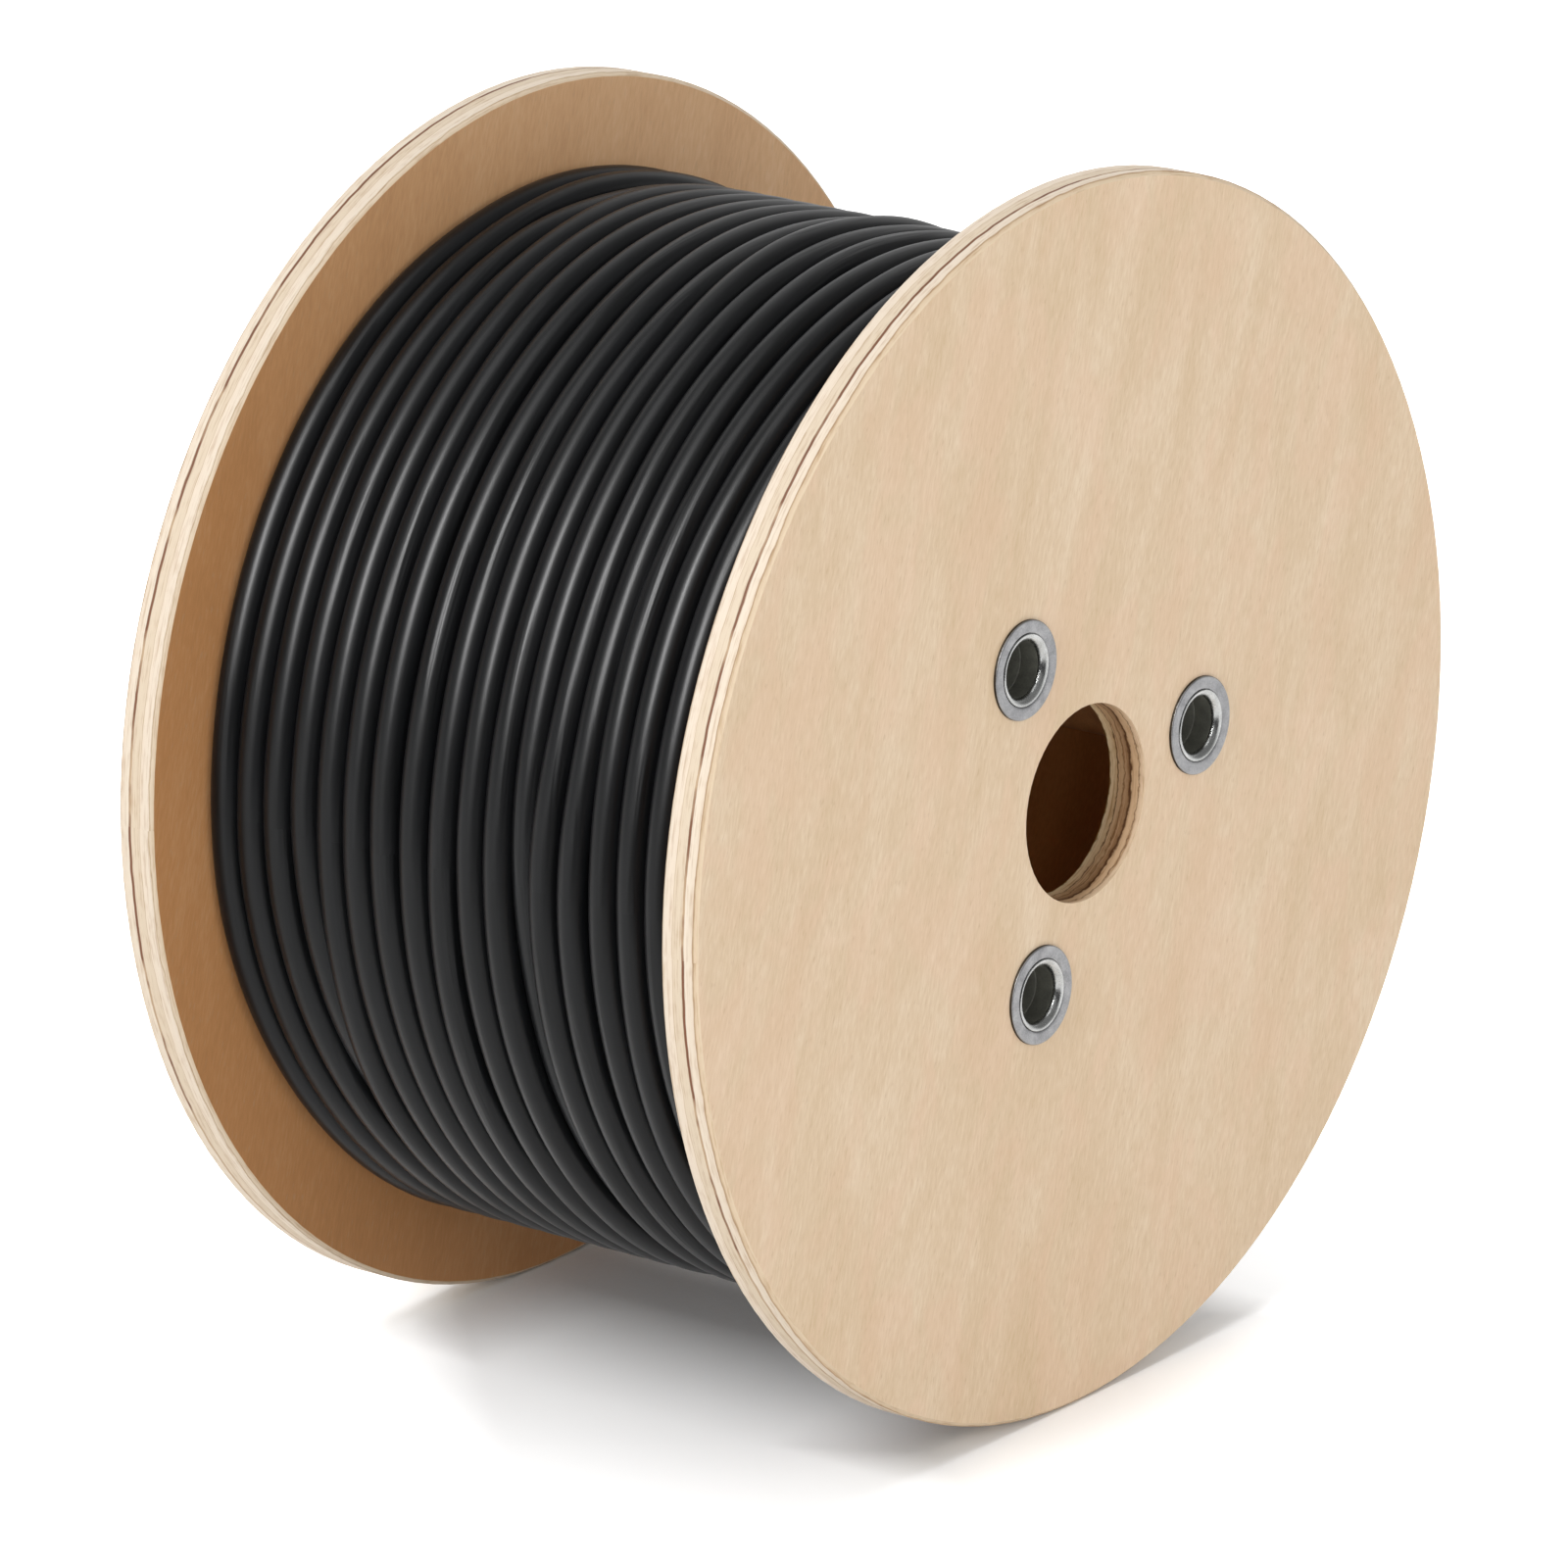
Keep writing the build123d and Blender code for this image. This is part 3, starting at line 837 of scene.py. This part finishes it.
# %% [markdown]
# ## Sheath
#
# Black polythene, pressed through a round die while soft. It is satin: dark all over, with one
# soft bright line along each turn. The die leaves faint lines along it, and handling leaves scuffs
# and, here and there, wrinkles where it was pinched. All of them run along the cable, so they are
# painted by the distance along the turn. Real die lines are a tenth of a millimetre apart. They
# are drawn at 0.7 mm so that they show.

# %% Sizes of the sheath's marks in mm: along the cable, across the drum and outwards
DIE_LINES, SCUFFS, PATCHES = (90, 0.7, 0.7), (30, 1.2, 1.2), (30, 4, 4)
WRINKLES, PINCHES = (45, 1.5, 1.5), (60, 9, 9)
DIE_SHARE, PATCH_SHARE, DIE_RELIEF = 0.4, 0.6, 0.04
PINCH_FROM, PINCH_TO = 0.56, 0.68
GLOSS_WORN, GLOSS_FRESH = 0.34, 0.42

# %% Satin black sheath
sheath, tree, shader, place = new_material("satin_black_sheath")
radius, across, along = drum_places(tree, place)
cable_place = add(tree, "ShaderNodeSeparateXYZ", {0: place}).outputs[1]
cable_place = add(tree, "ShaderNodeCombineXYZ", {0: along, 1: cable_place, 2: radius})
die_lines = stretched_noise(tree, cable_place, DIE_LINES, 1.0)
scuffs = stretched_noise(tree, cable_place, SCUFFS, 2.0)
patches = stretched_noise(tree, cable_place, PATCHES, 2.0)
tone = add(tree, "ShaderNodeMath", {0: die_lines, 1: DIE_SHARE, 2: 0.0}, operation="MULTIPLY_ADD")
tone = add(tree, "ShaderNodeMath", {0: patches, 1: PATCH_SHARE, 2: tone}, operation="MULTIPLY_ADD")
black = add(tree, "ShaderNodeValToRGB", {0: tone}, stops=[(0.35, "#090A0B"), (0.65, "#101113")])
gloss = add(tree, "ShaderNodeMapRange", {0: scuffs, 1: 0.3, 2: 0.7, 3: GLOSS_WORN, 4: GLOSS_FRESH})
wrinkles = stretched_noise(tree, cable_place, WRINKLES, 1.0)
pinched = stretched_noise(tree, cable_place, PINCHES, 1.0)
pinched = add(tree, "ShaderNodeMapRange", {0: pinched, 1: PINCH_FROM, 2: PINCH_TO})
relief = add(tree, "ShaderNodeMath", {0: die_lines, 1: DIE_RELIEF, 2: 0.0},
             operation="MULTIPLY_ADD")
relief = add(tree, "ShaderNodeMath", {0: wrinkles, 1: pinched, 2: relief},
             operation="MULTIPLY_ADD")
bump = add(tree, "ShaderNodeBump", {"Strength": 0.6, "Distance": 0.4 * MM, "Height": relief})
tree.links.new(black.outputs[0], shader.inputs["Base Color"])
tree.links.new(gloss.outputs[0], shader.inputs["Roughness"])
tree.links.new(bump.outputs[0], shader.inputs["Normal"])
shader.inputs["IOR"].default_value = 1.5
shader.inputs["Specular IOR Level"].default_value = 0.20
print("sheath has", len(tree.nodes), "nodes")

# %% Wind the top layer
top_layer = cable_along("cable_top_layer", line, CABLE, 16, sheath)
print("top layer has", len(top_layer.data.polygons), "faces")

# %% [markdown]
# ## The layers below
#
# Between the turns of the top layer the next one shows in a few gaps. It is wound as the top one
# is, half a turn over, in the hollows. What lies deeper never shows, so it is one turned ring on
# the barrel with a ridge for each turn.

# %% The second layer
LAYER_STEP = CABLE * math.sin(math.radians(60))

second = []
radius = smooth_between(OUT_OF_ROUND, angles) - CABLE / 2 - LAYER_STEP
for turn in range(1, TURNS):
    across = np.full_like(angles, CABLE * turn)
    last = STEPS_PER_TURN + 1
    if turn < TURNS - 1:
        across += stepping * CABLE
        last = STEPS_PER_TURN
    places = list(zip(angles, across, radius))[:last:2]
    second += [(a, inner_face / MM - d, r) for a, d, r in places]
second_layer = cable_along("cable_second_layer", second, CABLE, 12, sheath)
print("second layer has", len(second_layer.data.polygons), "faces")

# %% The deeper layers
CORE_CREST, BARREL_CLEAR, END_CLEAR = 134.0, 75.3, 0.3
RIDGE_SIDE, RIDGE_POINTS, CORE_STEPS = 0.15, 7, 120

core_end = inner_face / MM - END_CLEAR
core_outline = [(BARREL_CLEAR, -core_end), (BARREL_CLEAR, core_end)]
pitch = 2 * core_end / TURNS
for turn in range(TURNS):
    middle = core_end - pitch * turn - pitch / 2
    core_outline += [(CORE_CREST - CABLE / 2 + CABLE / 2 * math.sin(t),
                      middle + pitch / 2 * math.cos(t))
                     for t in np.linspace(RIDGE_SIDE, math.pi - RIDGE_SIDE, RIDGE_POINTS)]
core = turned_piece("cable_deeper_layers", list(reversed(core_outline)), (0, 0), CORE_STEPS,
                    sheath, smooth_angle=60)
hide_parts("cable_winding")
